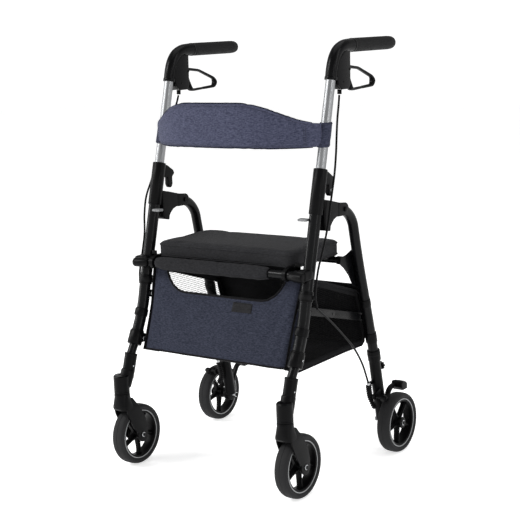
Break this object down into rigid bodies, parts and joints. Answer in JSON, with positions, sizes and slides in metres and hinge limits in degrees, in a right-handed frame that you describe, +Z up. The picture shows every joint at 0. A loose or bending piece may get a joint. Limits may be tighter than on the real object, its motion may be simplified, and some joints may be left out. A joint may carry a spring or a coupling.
{
  "type": "rollator walker",
  "caption": "Folding walker with swivel front casters, rear wheels with hand brakes, padded flip-up seat, curved fabric backrest, storage basket and height-adjustable handles.",
  "frame": {"origin": "on the floor, under the middle of the whole walker's bounding box", "axes": "+Z up, -Y to the walker's front (casters), +Y towards the user, +X to the user's left"},
  "size_m": [0.6066, 0.552, 1.0317],
  "materials": {
    "bright_tube": "polished",
    "black_metal": "satin",
    "black_plastic": "satin",
    "grey_plastic": "matte",
    "grip_rubber": "matte, fine grain",
    "tyre": "matte",
    "bellows_rubber": "matte",
    "cable_skin": "gloss",
    "black_fabric": "plain weave",
    "navy_fabric": "heather weave and open net",
    "zinc": "zinc plated"
  },
  "bodies": {
    "frame": {"front_leg_left": "black_metal", "front_leg_right": "black_metal", "height_socket_left": "black_plastic", "height_socket_right": "black_plastic", "fold_pivot_bolt_left": "zinc", "fold_pivot_bolt_right": "zinc", "caster_head_left": "black_plastic", "caster_head_right": "black_plastic", "front_cross_bar": "black_metal", "cross_bar_sleeve": "black_fabric", "basket": "navy_fabric", "brake_cable_upper_left": "cable_skin", "brake_cable_upper_right": "cable_skin", "brake_cable_lower_left": "cable_skin", "brake_cable_lower_right": "cable_skin"},
    "handles": {"handle_post_left": "bright_tube", "handle_post_right": "bright_tube", "handle_elbow_left": "black_plastic", "handle_elbow_right": "black_plastic", "grip_left": "grip_rubber", "grip_right": "grip_rubber", "backrest": "navy_fabric"},
    "seat": {"seat_pan": "black_plastic", "seat_cushion": "black_fabric"},
    "rear_frame": {"rear_leg_left": "black_metal", "rear_leg_right": "black_metal", "rear_cross_bar": "black_metal", "lower_rear_leg_left": "black_plastic", "lower_rear_leg_right": "black_plastic", "rear_axle_left": "zinc", "rear_axle_right": "zinc", "cable_bellows_left": "bellows_rubber", "cable_bellows_right": "bellows_rubber", "tip_pedal_left": "black_plastic", "tip_pedal_right": "black_plastic"},
    "lever_left": {"brake_lever_left": "black_plastic"},
    "tab_left": {"height_release_tab_left": "grey_plastic"},
    "shoe_left": {"brake_shoe_left": "black_plastic"},
    "brace_front_left": {"brace_front_link_left": "black_metal"},
    "brace_rear_left": {"brace_rear_link_left": "black_metal"},
    "caster_left": {"caster_fork_left": "black_plastic", "front_axle_left": "zinc"},
    "front_wheel_left": {"front_tyre_left": "tyre", "front_rim_left": "black_plastic"},
    "rear_wheel_left": {"rear_tyre_left": "tyre", "rear_rim_left": "black_plastic"},
    "lever_right": {"brake_lever_right": "black_plastic"},
    "tab_right": {"height_release_tab_right": "grey_plastic"},
    "shoe_right": {"brake_shoe_right": "black_plastic"},
    "brace_front_right": {"brace_front_link_right": "black_metal"},
    "brace_rear_right": {"brace_rear_link_right": "black_metal"},
    "caster_right": {"caster_fork_right": "black_plastic", "front_axle_right": "zinc"},
    "front_wheel_right": {"front_tyre_right": "tyre", "front_rim_right": "black_plastic"},
    "rear_wheel_right": {"rear_tyre_right": "tyre", "rear_rim_right": "black_plastic"}
  },
  "joints": [
    {"name": "handle_height", "type": "slide", "parent": "frame", "child": "handles", "axis": [0, 0.2607, 0.9654], "range_m": [-0.045, 0.03], "deforming": ["brake_cable_upper_left", "brake_cable_upper_right"]},
    {"name": "seat_flip", "type": "hinge", "parent": "frame", "child": "seat", "pos_m": [0, -0.152, 0.507], "axis": [1, 0, 0], "range_deg": [0, 78]},
    {"name": "frame_fold", "type": "hinge", "parent": "frame", "child": "rear_frame", "pos_m": [0, 0.012, 0.64], "axis": [-1, 0, 0], "range_deg": [0, 28], "deforming": ["brake_cable_lower_left", "brake_cable_lower_right", "basket"]},
    {"name": "brake_lever_left", "type": "hinge", "parent": "handles", "child": "lever_left", "pos_m": [0.24, 0.053, 0.962], "axis": [1, 0, 0], "range_deg": [-12, 14], "stiffness_Nm_per_rad": 0.4},
    {"name": "release_tab_left", "type": "slide", "parent": "frame", "child": "tab_left", "axis": [-1, 0, 0], "range_m": [0, 0.008], "stiffness_N_per_m": 300},
    {"name": "brake_shoe_left", "type": "hinge", "parent": "rear_frame", "child": "shoe_left", "pos_m": [0.282, 0.139, 0.15], "axis": [1, 0, 0], "range_deg": [-2, 2]},
    {"name": "brace_front_left", "type": "hinge", "parent": "frame", "child": "brace_front_left", "pos_m": [0.2235, -0.138, 0.424], "axis": [1, 0, 0], "range_deg": [-1, 36]},
    {"name": "brace_rear_left", "type": "hinge", "parent": "rear_frame", "child": "brace_rear_left", "pos_m": [0.22, 0.129, 0.353], "axis": [1, 0, 0], "range_deg": [-54, 1]},
    {"name": "caster_swivel_left", "type": "hinge", "parent": "frame", "child": "caster_left", "pos_m": [0.244, -0.246, 0.19], "axis": [0, 0, 1], "continuous": true},
    {"name": "front_wheel_spin_left", "type": "hinge", "parent": "caster_left", "child": "front_wheel_left", "pos_m": [0.244, -0.201, 0.075], "axis": [1, 0, 0], "continuous": true},
    {"name": "rear_wheel_spin_left", "type": "hinge", "parent": "rear_frame", "child": "rear_wheel_left", "pos_m": [0.282, 0.19, 0.075], "axis": [1, 0, 0], "continuous": true},
    {"name": "brake_lever_right", "type": "hinge", "parent": "handles", "child": "lever_right", "pos_m": [-0.24, 0.053, 0.962], "axis": [1, 0, 0], "range_deg": [-12, 14], "stiffness_Nm_per_rad": 0.4},
    {"name": "release_tab_right", "type": "slide", "parent": "frame", "child": "tab_right", "axis": [1, 0, 0], "range_m": [0, 0.008], "stiffness_N_per_m": 300},
    {"name": "brake_shoe_right", "type": "hinge", "parent": "rear_frame", "child": "shoe_right", "pos_m": [-0.282, 0.139, 0.15], "axis": [1, 0, 0], "range_deg": [-2, 2]},
    {"name": "brace_front_right", "type": "hinge", "parent": "frame", "child": "brace_front_right", "pos_m": [-0.2235, -0.138, 0.424], "axis": [1, 0, 0], "range_deg": [-1, 36]},
    {"name": "brace_rear_right", "type": "hinge", "parent": "rear_frame", "child": "brace_rear_right", "pos_m": [-0.22, 0.129, 0.353], "axis": [1, 0, 0], "range_deg": [-54, 1]},
    {"name": "caster_swivel_right", "type": "hinge", "parent": "frame", "child": "caster_right", "pos_m": [-0.244, -0.246, 0.19], "axis": [0, 0, 1], "continuous": true},
    {"name": "front_wheel_spin_right", "type": "hinge", "parent": "caster_right", "child": "front_wheel_right", "pos_m": [-0.244, -0.201, 0.075], "axis": [1, 0, 0], "continuous": true},
    {"name": "rear_wheel_spin_right", "type": "hinge", "parent": "rear_frame", "child": "rear_wheel_right", "pos_m": [-0.282, 0.19, 0.075], "axis": [1, 0, 0], "continuous": true}
  ],
  "couplings": [
    {"joint": "brake_shoe_left", "follows": "brake_lever_left", "ratio": -0.1},
    {"joint": "brace_front_left", "follows": "frame_fold", "ratio": 1.2153},
    {"joint": "brace_rear_left", "follows": "frame_fold", "ratio": -1.8595},
    {"joint": "brake_shoe_right", "follows": "brake_lever_right", "ratio": -0.1},
    {"joint": "brace_front_right", "follows": "frame_fold", "ratio": 1.2153},
    {"joint": "brace_rear_right", "follows": "frame_fold", "ratio": -1.8595}
  ]
}
